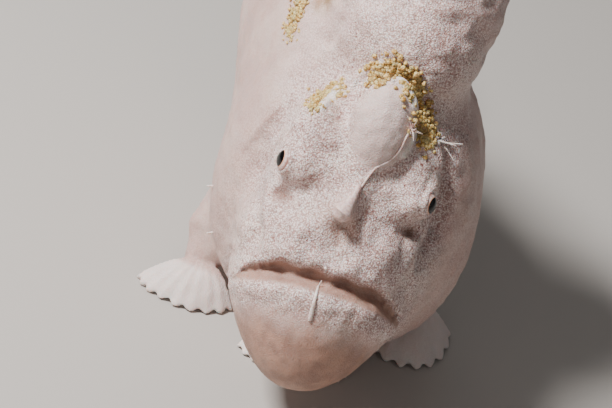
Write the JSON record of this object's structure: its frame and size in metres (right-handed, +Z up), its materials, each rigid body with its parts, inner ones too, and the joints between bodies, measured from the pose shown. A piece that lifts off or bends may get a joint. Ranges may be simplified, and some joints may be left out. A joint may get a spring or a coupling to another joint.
{
  "type": "frogfish",
  "caption": "Globe-bodied bottom fish at rest on hand-like fins, with an upturned mouth, a folded lure, thick dorsal spines and its tail swung to its right.",
  "frame": {"origin": "centre of the bounding box in X and Y, on the ground under the fish", "axes": "+Z up; the fish faces -Y, its left side is at +X; +Y runs from the snout to the tail"},
  "size_m": [0.0648, 0.1132, 0.082],
  "materials": {
    "skin": "pale pinkish white skin, finely pebbled",
    "fin": "whitish fin membrane over raised rays",
    "eye": "wet, dark"
  },
  "bodies": {
    "root": {"head": "skin", "torso": "skin", "tail": "skin", "dorsal_spine_2": "skin", "dorsal_spine_3": "skin", "pectoral_arm_left": "skin", "pectoral_arm_right": "skin", "illicium": "skin", "dorsal_fin": "fin", "anal_fin": "fin", "caudal_fin": "fin", "pectoral_fin_left": "fin", "pectoral_fin_right": "fin", "pelvic_fin_left": "fin", "pelvic_fin_right": "fin", "eye_left": "eye", "eye_right": "eye"}
  },
  "joints": []
}
